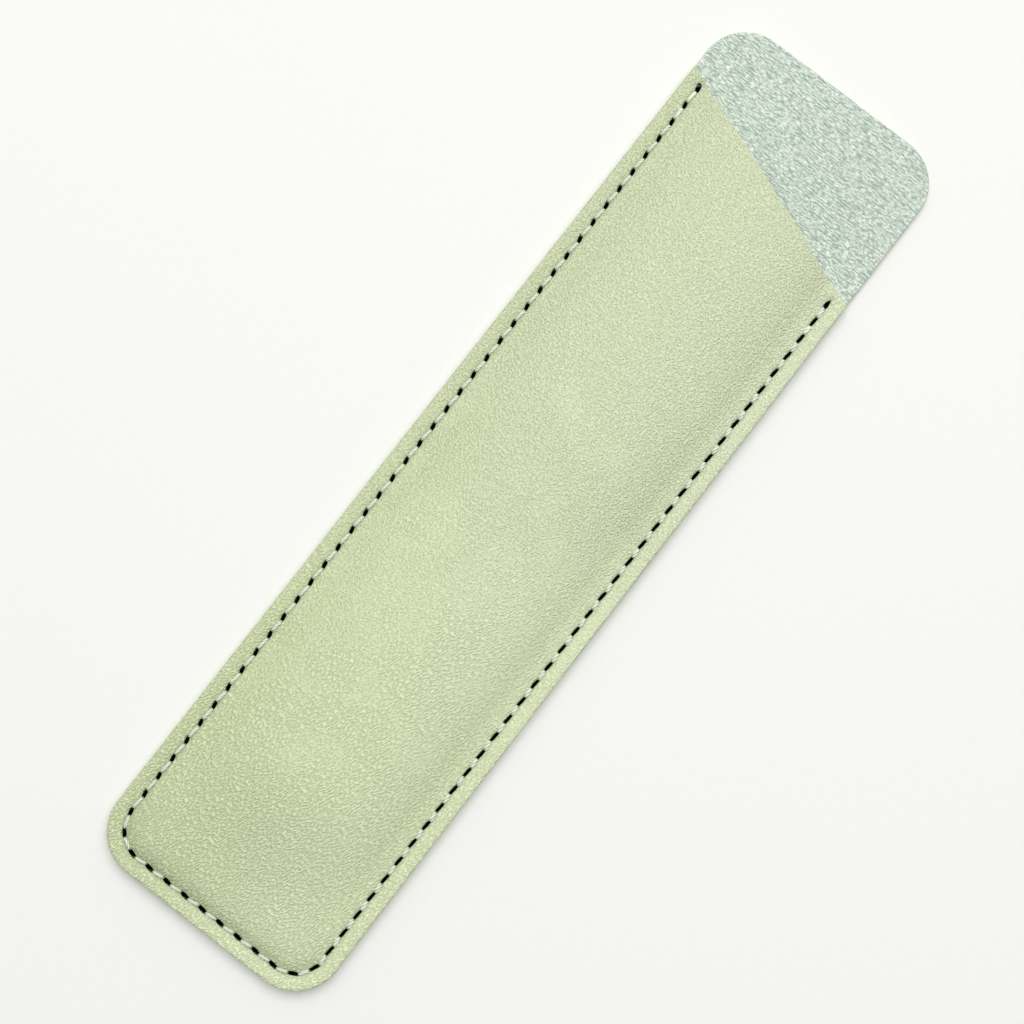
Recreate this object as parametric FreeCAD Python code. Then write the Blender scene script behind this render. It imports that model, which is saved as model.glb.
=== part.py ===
"""Single pen sleeve: two lined leather panels, cemented and sewn together on three sides.

Millimetres. The sleeve lies on its back: X runs across it, Y along it towards the mouth, Z up from the table.
The origin is on the table, under the middle of the back panel.
"""
import FreeCAD
import Part
import math
import os

# Outline of the back panel, and where the front panel's slanted mouth meets its two side edges
LENGTH = 164.0
WIDTH = 42.0
CORNER_RADIUS = 7.7
MOUTH_LEFT_DROP = 11.3
MOUTH_RIGHT_DROP = 27.2
MOUTH_SCOOP = 1.6

# Plies, from the table up: leather, lining, cement under the seam, lining, leather
LEATHER = 0.9
LINING = 0.35
BOND_GAP = 0.05
CEMENT = 0.1

# Pocket: how far the front panel stands off the back, and the stretches that bend it up from the seam
POCKET_RISE = 6.2
SHOULDER_RUN = 2.5
FLANK_RUN = 1.0
BOTTOM_SLOPE_RUN = 26.0
BOTTOM_SLOPE_STEPS = 10

# Seam: a lockstitch of two threads that hook round each other inside every hole
SEAM_MARGIN = 2.6
SEAM_START_DROP = 1.6
SEAM_END_DROP = 2.7
CEMENT_OVERLAP = 0.9
STITCH_PITCH = 3.39
THREAD = 0.5
THREAD_GAP = 0.04
LEG_GAP_ALONG = 1.2
LEG_GAP_ACROSS = 0.1
BEND_CLEARANCE = 0.05

# Thread inside a hole, worked out from its thickness: how far apart its two legs stand, and its tightest bend
LEG_SPACING_ALONG = THREAD + LEG_GAP_ALONG
LEG_SPACING_ACROSS = THREAD + LEG_GAP_ACROSS
THREAD_BEND_RADIUS = THREAD / 2 + BEND_CLEARANCE

# Heights of the plies, worked out from their thicknesses
LINING_FLOOR = LEATHER + BOND_GAP
POCKET_FLOOR = LINING_FLOOR + LINING
SEAM_CEILING = POCKET_FLOOR + CEMENT
FRONT_LEATHER_OFFSET = LINING + BOND_GAP
SEAM_TOP = SEAM_CEILING + FRONT_LEATHER_OFFSET + LEATHER
HIGHEST = SEAM_TOP + POCKET_RISE

# Places in plan, worked out from the outline
HALF_WIDTH = WIDTH / 2
TOP = LENGTH / 2
BOTTOM = -LENGTH / 2
SEAM_X = HALF_WIDTH - SEAM_MARGIN
POCKET_INSET = SEAM_MARGIN + CEMENT_OVERLAP
POCKET_HALF_WIDTH = HALF_WIDTH - POCKET_INSET
POCKET_BOTTOM = BOTTOM + POCKET_INSET
CROWN_RUN = POCKET_HALF_WIDTH - SHOULDER_RUN - FLANK_RUN
GROOVE_WIDTH = LEG_SPACING_ACROSS + THREAD + 2 * THREAD_GAP
GROOVE_DEPTH = THREAD + 2 * THREAD_GAP
HOLE_LENGTH = LEG_SPACING_ALONG + THREAD + 2 * THREAD_GAP
HOLE_WIDTH = GROOVE_WIDTH
HOLE_CORNER_RADIUS = THREAD / 2 + THREAD_GAP

# Working values: how far cutters reach past what they cut, and the bounds of the search for the flank's slope
OVERCUT = 1.0
STEEPEST_FLANK = 80.0
HALVINGS = 60
TOUCHING = 1e-6


def point(x, y, z=0.0):
    return FreeCAD.Vector(x, y, z)


def line(start, end):
    return Part.LineSegment(start, end).toShape()


def arc(start, middle, end):
    return Part.Arc(start, middle, end).toShape()


def block(wire, low, high):
    """Upright solid on a flat closed wire drawn at Z 0."""
    face = Part.Face(wire)
    face.translate(point(0, 0, low))
    return face.extrude(point(0, 0, high - low))


def corner(centre, radius, turn):
    """Quarter round that starts at the angle turn, in degrees, and runs anticlockwise."""
    ends = [math.radians(turn + step) for step in (0, 45, 90)]
    return arc(*[centre + point(math.cos(a), math.sin(a)) * radius for a in ends])


def inset_outline(inset):
    """The sleeve's outline, a rectangle with round corners, drawn in by inset on every side."""
    x = HALF_WIDTH - inset
    y = TOP - inset
    r = CORNER_RADIUS - inset
    return Part.Wire([
        line(point(x, r - y), point(x, y - r)),
        corner(point(x - r, y - r), r, 0),
        line(point(x - r, y), point(r - x, y)),
        corner(point(r - x, y - r), r, 90),
        line(point(-x, y - r), point(-x, r - y)),
        corner(point(r - x, r - y), r, 180),
        line(point(r - x, -y), point(x - r, -y)),
        corner(point(x - r, r - y), r, 270),
    ])


def mouth_y(x):
    """Height of the straight mouth line at x, before its scoop."""
    slope = (MOUTH_RIGHT_DROP - MOUTH_LEFT_DROP) / WIDTH
    return TOP - MOUTH_LEFT_DROP - slope * (x + HALF_WIDTH)


def below_mouth(low, high):
    """Everything on the pocket's side of the mouth: straight over the seams, scooped between them."""
    far_x = HALF_WIDTH + OVERCUT
    far_y = BOTTOM - OVERCUT
    corners = [point(x, mouth_y(x)) for x in (-far_x, -SEAM_X, SEAM_X, far_x)]
    deepest = point(0, mouth_y(0) - MOUTH_SCOOP)
    return block(Part.Wire([
        line(point(-far_x, far_y), corners[0]),
        line(corners[0], corners[1]),
        arc(corners[1], deepest, corners[2]),
        line(corners[2], corners[3]),
        line(corners[3], point(far_x, far_y)),
        line(point(far_x, far_y), point(-far_x, far_y)),
    ]), low, high)


def flank_angle(rise):
    """Slope of the pocket's straight flank, found by halving, for a crown that stands this high."""
    low, high = 0.0, math.radians(STEEPEST_FLANK)
    for _ in range(HALVINGS):
        angle = (low + high) / 2
        reached = (SHOULDER_RUN + CROWN_RUN) * math.tan(angle / 2) + FLANK_RUN * math.tan(angle)
        if reached < rise:
            low = angle
        else:
            high = angle
    return (low + high) / 2


def cross_section(y, rise, offset):
    """Edges, from left to right, of a ply's face at this offset above the pocket's ceiling."""
    margin_x = HALF_WIDTH + OVERCUT
    base = SEAM_CEILING + offset
    if rise == 0:
        stops = [POCKET_HALF_WIDTH, POCKET_HALF_WIDTH - SHOULDER_RUN, CROWN_RUN]
        xs = [-margin_x] + [-x for x in stops] + stops[::-1] + [margin_x]
        return [line(point(a, y, base), point(b, y, base)) for a, b in zip(xs, xs[1:])]
    angle = flank_angle(rise)
    shoulder = SHOULDER_RUN / math.sin(angle)
    crown = CROWN_RUN / math.sin(angle)
    shoulder_z = SEAM_CEILING + shoulder
    crown_z = SEAM_CEILING + rise - crown

    def on_shoulder(side, a):
        r = shoulder - offset
        return point(side * (POCKET_HALF_WIDTH - r * math.sin(a)), y, shoulder_z - r * math.cos(a))

    def on_crown(a):
        r = crown + offset
        return point(r * math.sin(a), y, crown_z + r * math.cos(a))

    left = [on_shoulder(-1, part * angle) for part in (0, 0.5, 1)]
    right = [on_shoulder(1, part * angle) for part in (1, 0.5, 0)]
    return [
        line(point(-margin_x, y, base), left[0]),
        arc(*left),
        line(left[2], on_crown(-angle)),
        arc(on_crown(-angle), on_crown(0), on_crown(angle)),
        line(on_crown(angle), right[0]),
        arc(*right),
        line(right[2], point(margin_x, y, base)),
    ]


def section_wire(y, rise, inner, outer):
    """Closed section of a ply between two offsets above the pocket's ceiling."""
    lower = cross_section(y, rise, inner)
    upper = cross_section(y, rise, outer)
    margin_x = HALF_WIDTH + OVERCUT
    low, high = SEAM_CEILING + inner, SEAM_CEILING + outer
    right_end = line(point(margin_x, y, low), point(margin_x, y, high))
    left_end = line(point(-margin_x, y, low), point(-margin_x, y, high))
    return Part.Wire(lower + [right_end] + upper[::-1] + [left_end])


def crowned_ply(inner, outer):
    """A ply of the front: flat on the seam margins, standing up over the pocket, sloping down at the bottom."""
    sections = [section_wire(BOTTOM - OVERCUT, 0, inner, outer)]
    for step in range(BOTTOM_SLOPE_STEPS + 1):
        part = step / BOTTOM_SLOPE_STEPS
        rise = POCKET_RISE * (1 - math.cos(math.pi * part)) / 2
        sections.append(section_wire(POCKET_BOTTOM + part * BOTTOM_SLOPE_RUN, rise, inner, outer))
    sections.append(section_wire(TOP + OVERCUT, POCKET_RISE, inner, outer))
    return Part.makeLoft(sections, True, True)


def seam_stretches():
    """The seam's line as (start, direction in degrees, length, radius), from the left end to the right end."""
    radius = CORNER_RADIUS - SEAM_MARGIN
    turn_y = BOTTOM + CORNER_RADIUS
    start_y = mouth_y(-SEAM_X) - SEAM_START_DROP
    end_y = mouth_y(SEAM_X) - SEAM_END_DROP
    quarter = math.pi / 2 * radius
    return [
        (point(-SEAM_X, start_y), -90, start_y - turn_y, 0),
        (point(-SEAM_X, turn_y), -90, quarter, radius),
        (point(radius - SEAM_X, turn_y - radius), 0, WIDTH - 2 * CORNER_RADIUS, 0),
        (point(SEAM_X - radius, turn_y - radius), 0, quarter, radius),
        (point(SEAM_X, turn_y), 90, end_y - turn_y, 0),
    ]


def heading(degrees):
    return point(math.cos(math.radians(degrees)), math.sin(math.radians(degrees)))


def seam_station(distance):
    """Place on the seam's line, and its direction in degrees, this far from its left end."""
    for start, turn, length, radius in seam_stretches():
        if distance <= length + TOUCHING:
            break
        distance -= length
    if radius == 0:
        return start + heading(turn) * distance, turn
    swept = math.degrees(distance / radius)
    centre = start + heading(turn + 90) * radius
    return centre + heading(turn - 90 + swept) * radius, turn + swept


def hole_stations():
    """Evenly spaced holes, from the left end of the seam to its right end."""
    length = sum(stretch[2] for stretch in seam_stretches())
    stitches = round(length / STITCH_PITCH)
    return [seam_station(length * k / stitches) for k in range(stitches + 1)]


def stitch_holes(stations):
    """One upright cutter for each hole: a rectangle with round corners, turned along the seam."""
    x, y, r = HOLE_LENGTH / 2, HOLE_WIDTH / 2, HOLE_CORNER_RADIUS
    box = Part.makeBox(2 * x, 2 * y, HIGHEST + 2 * OVERCUT, point(-x, -y, -OVERCUT))
    upright = [edge for edge in box.Edges if abs(edge.tangentAt(edge.FirstParameter).z) > 0.5]
    cutter = box.makeFillet(r, upright)
    holes = []
    for place, turn in stations:
        hole = cutter.copy()
        hole.rotate(point(0, 0), point(0, 0, 1), turn)
        hole.translate(place)
        holes.append(hole)
    return Part.makeCompound(holes)


def seam_groove(stations, low, high):
    """Channel along the stitch line that the stitches lie in, from the first hole to the last."""
    half = GROOVE_WIDTH / 2
    outer = block(inset_outline(SEAM_MARGIN - half), low, high)
    inner = block(inset_outline(SEAM_MARGIN + half), low - OVERCUT, high + OVERCUT)
    reach = HOLE_LENGTH / 2
    far_y = BOTTOM - OVERCUT
    first_y = stations[0][0].y + reach
    last_y = stations[-1][0].y + reach
    far_x = HALF_WIDTH + OVERCUT
    sewn = Part.makePolygon([
        point(-far_x, far_y), point(-far_x, first_y), point(0, first_y), point(0, last_y),
        point(far_x, last_y), point(far_x, far_y), point(-far_x, far_y),
    ])
    return outer.cut(inner).common(block(sewn, low - OVERCUT, high + OVERCUT))


def thread_corners(stations, run_z, hook_z, slant):
    """Corner points of a thread: along the face, down a hole, across it at hook_z, and up again."""
    corners = []
    for place, turn in stations:
        along = heading(turn) * (LEG_SPACING_ALONG / 2)
        across = heading(turn + 90) * (slant * LEG_SPACING_ACROSS / 2)
        arriving = place - along + across
        leaving = place + along - across
        corners.append(point(arriving.x, arriving.y, run_z))
        corners.append(point(arriving.x, arriving.y, hook_z))
        corners.append(point(leaving.x, leaving.y, hook_z))
        corners.append(point(leaving.x, leaving.y, run_z))
    return corners[2:-2]


def rounded_path(corners, radius):
    """Straight runs between the corners, joined by tangent arcs of this radius; every corner is a right angle."""
    edges = []
    start = corners[0]
    inward = radius * (1 - math.sqrt(0.5))
    for before, here, after in zip(corners, corners[1:], corners[2:]):
        back = (before - here).normalize()
        ahead = (after - here).normalize()
        entry = here + back * radius
        leave = here + ahead * radius
        edges.append(line(start, entry))
        edges.append(arc(entry, here + (back + ahead) * inward, leave))
        start = leave
    edges.append(line(start, corners[-1]))
    return Part.Wire(edges)


def thread(stations, run_z, hook_z, slant):
    """One unbroken thread, a round tube along its stitches."""
    corners = thread_corners(stations, run_z, hook_z, slant)
    path = rounded_path(corners, THREAD_BEND_RADIUS)
    upward = point(0, 0, 1)
    end_ring = Part.Wire(Part.makeCircle(THREAD / 2, corners[0], upward))
    return path.makePipeShell([end_ring], True, False)


def front_ply(inner, outer):
    """A ply of the front, cut to the outline and the mouth."""
    outline = block(inset_outline(0), -OVERCUT, HIGHEST + OVERCUT)
    pattern = outline.common(below_mouth(-OVERCUT, HIGHEST + OVERCUT))
    return crowned_ply(inner, outer).common(pattern)


def back_ply(low, high):
    return block(inset_outline(0), low, high)


def seam_cement():
    """Thin U of cement between the two linings, under the seam on three sides."""
    layer = block(inset_outline(0), POCKET_FLOOR, SEAM_CEILING)
    layer = layer.common(below_mouth(POCKET_FLOOR, SEAM_CEILING))
    reach = TOP - POCKET_BOTTOM
    pocket = block(inset_outline(POCKET_INSET), 0, HIGHEST)
    open_end = Part.makeBox(2 * POCKET_HALF_WIDTH, reach, HIGHEST, point(-POCKET_HALF_WIDTH, 0, 0))
    return layer.cut(pocket.fuse(open_end))


def build():
    stations = hole_stations()
    holes = stitch_holes(stations)
    front_groove = seam_groove(stations, SEAM_TOP - GROOVE_DEPTH, SEAM_TOP + OVERCUT)
    back_groove = seam_groove(stations, -OVERCUT, GROOVE_DEPTH)
    plies = {
        "front_panel": front_ply(FRONT_LEATHER_OFFSET, FRONT_LEATHER_OFFSET + LEATHER).cut(front_groove),
        "front_lining": front_ply(0, LINING),
        "back_panel": back_ply(0, LEATHER).cut(back_groove),
        "back_lining": back_ply(LINING_FLOOR, POCKET_FLOOR),
        "seam_cement": seam_cement(),
    }
    pieces = {name: ply.cut(holes) for name, ply in plies.items()}
    face_run = THREAD_GAP + THREAD / 2
    hook_reach = (THREAD + THREAD_GAP) / 2
    middle = SEAM_TOP / 2
    pieces["needle_thread"] = thread(stations, SEAM_TOP - face_run, middle - hook_reach, 1)
    pieces["bobbin_thread"] = thread(stations, face_run, middle + hook_reach, -1)
    return pieces


os.makedirs("parts", exist_ok=True)
for name, shape in build().items():
    shape.exportStep(f"parts/{name}.step")
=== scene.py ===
"""Looks of a single pen sleeve: two lined leather panels with a slanted mouth, sewn on three sides.

Sizes are in millimetres, in the sleeve's own frame, and turn into metres in meshes and materials.
X runs across the sleeve, Y along it towards the mouth, and Z up from the table that it lies on.
A place in plan is a complex number.
"""
import math
from collections import namedtuple
import bpy
import numpy as np
from mathutils import Matrix, Vector
from mathutils.geometry import delaunay_2d_cdt


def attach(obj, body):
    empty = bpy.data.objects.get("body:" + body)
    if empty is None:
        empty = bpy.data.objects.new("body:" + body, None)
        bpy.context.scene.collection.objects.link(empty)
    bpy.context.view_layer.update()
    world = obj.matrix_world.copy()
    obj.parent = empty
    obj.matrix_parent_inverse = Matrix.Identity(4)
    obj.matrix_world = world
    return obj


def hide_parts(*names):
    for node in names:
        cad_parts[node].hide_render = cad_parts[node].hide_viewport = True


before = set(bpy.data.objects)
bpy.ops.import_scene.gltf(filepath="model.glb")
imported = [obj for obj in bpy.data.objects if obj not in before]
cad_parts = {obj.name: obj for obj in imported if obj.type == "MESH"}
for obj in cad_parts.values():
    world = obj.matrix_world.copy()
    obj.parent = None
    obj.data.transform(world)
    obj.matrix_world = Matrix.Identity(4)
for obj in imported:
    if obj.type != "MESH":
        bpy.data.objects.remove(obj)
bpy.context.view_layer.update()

MM = 0.001

# Outline of the back panel, and where the front panel's slanted mouth meets its two side edges
LENGTH = 164.0
WIDTH = 42.0
CORNER_RADIUS = 7.7
MOUTH_LEFT_DROP = 11.3
MOUTH_RIGHT_DROP = 27.2
MOUTH_SCOOP = 1.6

# Plies, from the table up: leather, lining, cement under the seam, lining, leather
LEATHER = 0.9
LINING = 0.35
BOND_GAP = 0.05
CEMENT = 0.1

# Pocket: how far the front panel stands off the back, and the stretches that bend it up from the seam
POCKET_RISE = 6.2
SHOULDER_RUN = 2.5
FLANK_RUN = 1.0
BOTTOM_SLOPE_RUN = 26.0

# Seam: where its line runs, and the cement under it
SEAM_MARGIN = 2.6
SEAM_START_DROP = 1.6
SEAM_END_DROP = 2.7
STITCH_PITCH = 3.39
CEMENT_OVERLAP = 0.9
CEMENT_SETBACK = 0.25

# Stitch holes and stitches, as they differ down the left side, along the bottom and up the right side
SIDE_TURNS = (-math.pi / 2, 0, math.pi / 2)
HOLE_SLANTS = (13.0, -10.0, -5.0)
HOLE_LENGTHS = (1.68, 1.86, 2.3)
HOLE_WIDTHS = (0.64, 0.72, 0.54)
HOLE_POINTEDNESS = (1.0, 0.9, 0.65)
STITCH_FULLNESS = (0.95, 0.86, 1.22)

# The seam's two end holes against the others, and how much wider each hole is in the inner plies
END_HOLE_WIDENING = 1.3
LAST_HOLE_SHORTENING = 0.8
LAST_HOLE_TAPER = 0.55
INNER_HOLE_MARGIN = 0.24

# Thread: its plies, how its stitches swell and narrow, and the tack stitches at the seam's two ends
THREAD = 0.56
THREAD_PLIES = 3
THREAD_TWIST_PITCH = 2.4
PLY_FULLNESS = 1.12
STITCH_TAPER = 0.55
STITCH_SWELL = (0.35, 1.0)
STITCH_FLATNESS = 3.0
HOOK_SWELL = (0.0, 0.8)
HOOK_FLATNESS = 2.2
LEG_INSET = 0.25
NEEDLE_PROUD = 0.03
BOBBIN_SUNK = 0.02
TACKED_STITCHES = 2
TACK_SHIFT = 0.17
# how far a ply's face turns inward before it takes the grooves' painted shade
GROOVE_SPAN = (-0.2, 0.55)
# how far below the thread's face the painted shade of a hole fades in
HOLE_SHADE_SPAN = (0.34, 0.52)

# Softness of the leather: the valley and dimples that stitches pull, and the puff above the bottom seam
VALLEY_DEPTH = 0.42
VALLEY_WIDTH = 1.1
VALLEY_FADE = 2.2
DIMPLE_DEPTH = 0.12
DIMPLE_WIDTH = 0.9
PUFF_HEIGHT = 0.5
PUFF_RUN = 1.2

# Wear and painted shade: the rounded cut edges, and painted shade beside the stitches and inside the
# bottom seam
EDGE_ROUNDING = 0.22
EDGE_BULGE = 0.05
TONGUE_EDGE_WEAR = 0.5
SEAM_SHADE_BESIDE = 0.5
SEAM_SHADE_WIDTH = 0.42
SEAM_SHADE_INSIDE = 0.26
SEAM_SHADE_BAND = 3.2

# Slow waves of the hide, fading in past the seam: height, radians per millimetre across and along, start
WAVES = (
    (0.06, 0.21, 0.062, 0.6),
    (0.03, 0.13, -0.145, 2.1),
    (0.02, 0.33, 0.24, 4.0),
)
WAVE_FADE = 6.0

# Heights and places worked out from these
LINING_FLOOR = LEATHER + BOND_GAP
POCKET_FLOOR = LINING_FLOOR + LINING
SEAM_CEILING = POCKET_FLOOR + CEMENT
FRONT_LEATHER_OFFSET = LINING + BOND_GAP
SEAM_TOP = SEAM_CEILING + FRONT_LEATHER_OFFSET + LEATHER
SEAM_MIDDLE = SEAM_TOP / 2
HALF_WIDTH = WIDTH / 2
TOP = LENGTH / 2
BOTTOM = -LENGTH / 2
MOUTH_SLOPE = (MOUTH_RIGHT_DROP - MOUTH_LEFT_DROP) / WIDTH
SEAM_X = HALF_WIDTH - SEAM_MARGIN
POCKET_INSET = SEAM_MARGIN + CEMENT_OVERLAP
POCKET_HALF_WIDTH = HALF_WIDTH - POCKET_INSET
POCKET_BOTTOM = BOTTOM + POCKET_INSET
CROWN_RUN = POCKET_HALF_WIDTH - SHOULDER_RUN - FLANK_RUN

# Mesh spacing: along the edges, round the stitches, over the open leather and over the tongue's suede
EDGE_STEP = 0.45
SEAM_STEP = 0.30
FIELD_STEP = 1.1
NAP_STEP = 0.36
EDGE_RINGS = (0.05, 0.12, 0.22, 0.36, 0.6, 0.95, 1.3)
SEAM_RINGS = tuple(np.arange(1.55, 3.75, 0.22))
FIELD_RINGS = (4.1, 4.8, 5.6, 6.5)

# Points round a hole, along a stitch, along its hook in a hole, and round a ply of the thread
HOLE_POINTS = 18
STITCH_POINTS = 18
HOOK_POINTS = 8
PLY_SIDES = 8

# Gaps between mesh points: from rings to the mouth, from the open field to both, and from all to the holes
EDGE_RING_GAP = 0.3
SEAM_RING_GAP = 1.4
BACK_RING_GAP = 0.4
FIELD_GAP = 0.6
MOUTH_FIELD_GAP = 0.5
HOLE_GAP = 0.1

# Points on the tongue: how far they go on below the mouth, and how far they stay inside the outline
TONGUE_OVERLAP = 1.0
TONGUE_MARGIN = 1.5

# Tolerances, steps and starting values of the sums
TOUCHING = 1e-6
WELD = 1e-5
SLIVER = 1e-9
LEAST_RISE = 1e-4
SLOPE_STEP = 0.2
STEEPEST_FLANK = 80.0
HALVINGS = 40
FIRST_SIDE = (0.3, 0.5, 0.8)

# Leather grain: sizes of its marks across and along the sleeve, their slant, and how far they wander
PEBBLES = (0.38, 0.38)
CREASES = (0.32, 0.62)
FOLDS = (0.22, 0.60)
FOLD_SLANT = -20.0
PEBBLE_WANDER = 0.1
FOLD_WANDER = 0.2

# Leather over the sleeve: how folds gain along Y, and stretches over which painted light evens its flanks,
# it yellows, and painted glints gain
FOLDING_PER_METRE = -7.0
PAINTED_LIGHT_STRETCH = (-20.0, 16.0)
PAINTED_LIGHT_LIFT = (-0.08, 0.13)
YELLOWING_STRETCH = (30.0, -50.0)
GLINT_STRETCH = (-60.0, 50.0)
GLINT_SHARES = (0.12, 1.0)

# Suede: sizes of its short strokes and long partings across and along the sleeve, and how far they wander
STROKES = (0.78, 0.18)
PARTINGS = (2.4, 0.22)
SUEDE_WANDER = 0.14

# Other fibres: those of a cut edge to a millimetre each way, and the drift of the thread's along it
CUT_FIBRES = (0.9, 0.9, 5.2)
THREAD_DRIFT = 0.35

# Noises: marks to a millimetre, layers of finer marks, and the strength of each layer against the last
WANDER_NOISE = (1.3, 2, 0.5)
FOLD_WANDER_NOISE = (0.42, 2, 0.5)
GRAIN_NOISE = (2.8, 1, 0.6)
FINE_NOISE = (3.6, 0, 0.5)
FOLD_NOISE = (1.0, 0, 0.5)
FOLD_PATCHES = (0.11, 1, 0.5)
TONE_PATCHES = (0.024, 2, 0.5)
GLINT_NOISE = (2.6, 1, 0.5)
STROKE_NOISE = (1.0, 1, 0.6)
PARTING_NOISE = (1.0, 1, 0.5)
FIBRE_NOISE = (3.2, 1, 0.6)
SUEDE_PATCHES = (0.095, 2, 0.5)
CUT_NOISE = (1.0, 3, 0.65)
HOLE_NOISE = (4.0, 2, 0.5)
THREAD_NOISE = (6.5, 3, 0.6)
BUBBLE_NOISE = (1.5, 3, 0.5)
FLOOR_NOISE = (0.9, 2, 0.5)

# Ramps: the two values that a pattern runs between, and what they become where that isn't 0 and 1
NOISE_SPAN = (0.3, 0.7)
DOME_SPAN = (0.0, 0.75, 1.0, 0.35)
CREASE_SPAN = (0.0, 0.16)
FOLDING_SPAN = (0.45, 0.85, 0.0, 0.9)
TONE_SPAN = (-0.3, 1.1)
GLINT_SPAN = (0.60, 0.74, 0.0, 0.7)
LEATHER_ROUGHNESS = (0.2, 0.8, 0.62, 0.46)
STROKE_SPAN = (0.30, 0.66)
PARTING_SPAN = (0.32, 0.38, 0.12, 1.0)
FIBRE_SPAN = (0.28, 0.72)
NAP_SPAN = (0.0, 0.75)
GROOVE_SHADE = (0.0, 1.0, 0.0, 0.6)
HOLE_SHADE_GLOSS = (0.0, 1.0, 0.4, 0.0)

# Blends of two patterns: the share of the finer one, or of slow patches
GRAIN_SHARE = 0.7
FOLD_SHARE = 0.85
FINE_SHARE = 0.2
TONE_PATCH_SHARE = 0.2
FIBRE_SHARE = 0.35
SUEDE_PATCH_SHARE = 0.1

# Reliefs: strength, and height
LEATHER_RELIEF = (0.7, 0.34)
SUEDE_RELIEF = (1.0, 0.16)
CUT_RELIEF = (0.6, 0.1)
THREAD_RELIEF = (0.5, 0.05)
CEMENT_RELIEF = (0.3, 0.08)

# Colours, as screen values from 0 to 255; of two shades, the darker comes first
LEATHER_LIGHT = (238, 247, 214)
LEATHER_LOW_LIGHT = (237, 247, 207)
LEATHER_DARK = (181, 191, 139)
# pale painted glints on the grain
LEATHER_PAINTED_GLINT = (250, 253, 226)
# painted shade beside the stitches and inside the bottom seam
LEATHER_PAINTED_SHADE = (88, 98, 52)
LEATHER_EDGE_SHADES = ((170, 180, 138), (205, 212, 172))
SUEDE_SHADES = ((163, 184, 168), (243, 255, 241))
SUEDE_EDGE_SHADES = ((165, 183, 170), (204, 217, 203))
# near-black painted shade for the inside of the stitch holes
HOLE_SHADES = ((3, 3, 2), (12, 12, 9))
THREAD_SHADES = ((239, 241, 222), (255, 255, 246))
# painted shade in the grooves between the thread's plies
THREAD_GROOVE_PAINTED_SHADE = (96, 98, 78)
# near-black painted shade on the thread down inside a hole
THREAD_HOLE_SHADE = (6, 6, 4)
CEMENT_SHADES = ((196, 178, 128), (222, 210, 168))
FLOOR_SHADES = ((244, 244, 241), (247, 247, 244))

# Camera: where it stands, the point that it looks at, and which way on the table is up in the picture
CAMERA_PLACE = (8.89, -27.18, 310.2)
CAMERA_AIM = (-0.59, -2.85, 2.35)
PAGE_UP = math.radians(127.725)
LENS = 70.3125
SENSOR = 36.0

# Light: strength of the room below and above the picture, and a lamp; its size and distance are in metres
ROOM_BELOW = 0.15
ROOM_ABOVE = 0.6
LAMP_SIZE = 0.85
LAMP_DISTANCE = 0.9
LAMP_POWER = 6.98
LAMP_LEAN = 0.28
LAMP_ASIDE = 0.06
FLOOR_SIZE = 4.0

# A hole's place and turn are the seam's there; pointedness and taper shape it; fullness is its stitch's
Hole = namedtuple("Hole", "place turn slant length width pointedness fullness taper")


def heading(angle):
    return complex(math.cos(angle), math.sin(angle))


def smooth(low, high, values):
    """0 below low, 1 above high, and an even S between them."""
    part = np.clip((values - low) / (high - low), 0, 1)
    return part * part * (3 - 2 * part)


# Shapes in plan

def mouth_y(x):
    """Height of the straight mouth line at x, before its scoop."""
    return TOP - MOUTH_LEFT_DROP - MOUTH_SLOPE * (x + HALF_WIDTH)


def mouth_edge_y(x):
    """The mouth's edge: straight over the seams, scooped between them."""
    return mouth_y(x) - MOUTH_SCOOP * np.clip(1 - (x / SEAM_X) ** 2, 0, 1)


def u_stretches(inset, left_y, right_y):
    """A U inside the outline, left to right: start, direction, length and radius of each stretch."""
    x = HALF_WIDTH - inset
    radius = CORNER_RADIUS - inset
    turn_y = BOTTOM + CORNER_RADIUS
    quarter = math.pi / 2 * radius
    return [
        (complex(-x, left_y), -math.pi / 2, left_y - turn_y, 0),
        (complex(-x, turn_y), -math.pi / 2, quarter, radius),
        (complex(radius - x, turn_y - radius), 0, WIDTH - 2 * CORNER_RADIUS, 0),
        (complex(x - radius, turn_y - radius), 0, quarter, radius),
        (complex(x, turn_y), math.pi / 2, right_y - turn_y, 0),
    ]


def station(stretches, distance):
    """Place on a U, and its direction there, this far from its left end."""
    for start, turn, length, radius in stretches:
        if distance <= length + TOUCHING:
            break
        distance -= length
    if radius == 0:
        return start + heading(turn) * distance, turn
    swept = distance / radius
    centre = start + heading(turn + math.pi / 2) * radius
    return centre + heading(turn - math.pi / 2 + swept) * radius, turn + swept


def along(stretches, step):
    """Stations spaced evenly, about a step apart, from end to end."""
    length = sum(stretch[2] for stretch in stretches)
    count = max(2, round(length / step))
    return [station(stretches, length * k / count) for k in range(count + 1)]


def u_ring(inset, step, gap):
    """Places along a U inside the outline whose ends stop this far below the mouth."""
    x = HALF_WIDTH - inset
    stretches = u_stretches(inset, mouth_y(-x) - gap, mouth_y(x) - gap)
    return [place for place, _ in along(stretches, step)]


def closed_ring(inset, step):
    """Places all round inside the back panel's outline."""
    corner_y = TOP - CORNER_RADIUS
    lower = [place for place, _ in along(u_stretches(inset, corner_y, corner_y), step)]
    x = HALF_WIDTH - inset
    radius = CORNER_RADIUS - inset
    centre = complex(x - radius, corner_y)
    count = max(2, round(math.pi / 2 * radius / step))
    right = [centre + heading(math.pi / 2 * k / count) * radius for k in range(1, count + 1)]
    left = [complex(-place.real, place.imag) for place in right[::-1]]
    run = WIDTH - 2 * CORNER_RADIUS
    count = max(2, round(run / step))
    top = [right[-1] - run * k / count for k in range(1, count)]
    return lower + right + top + left


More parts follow.
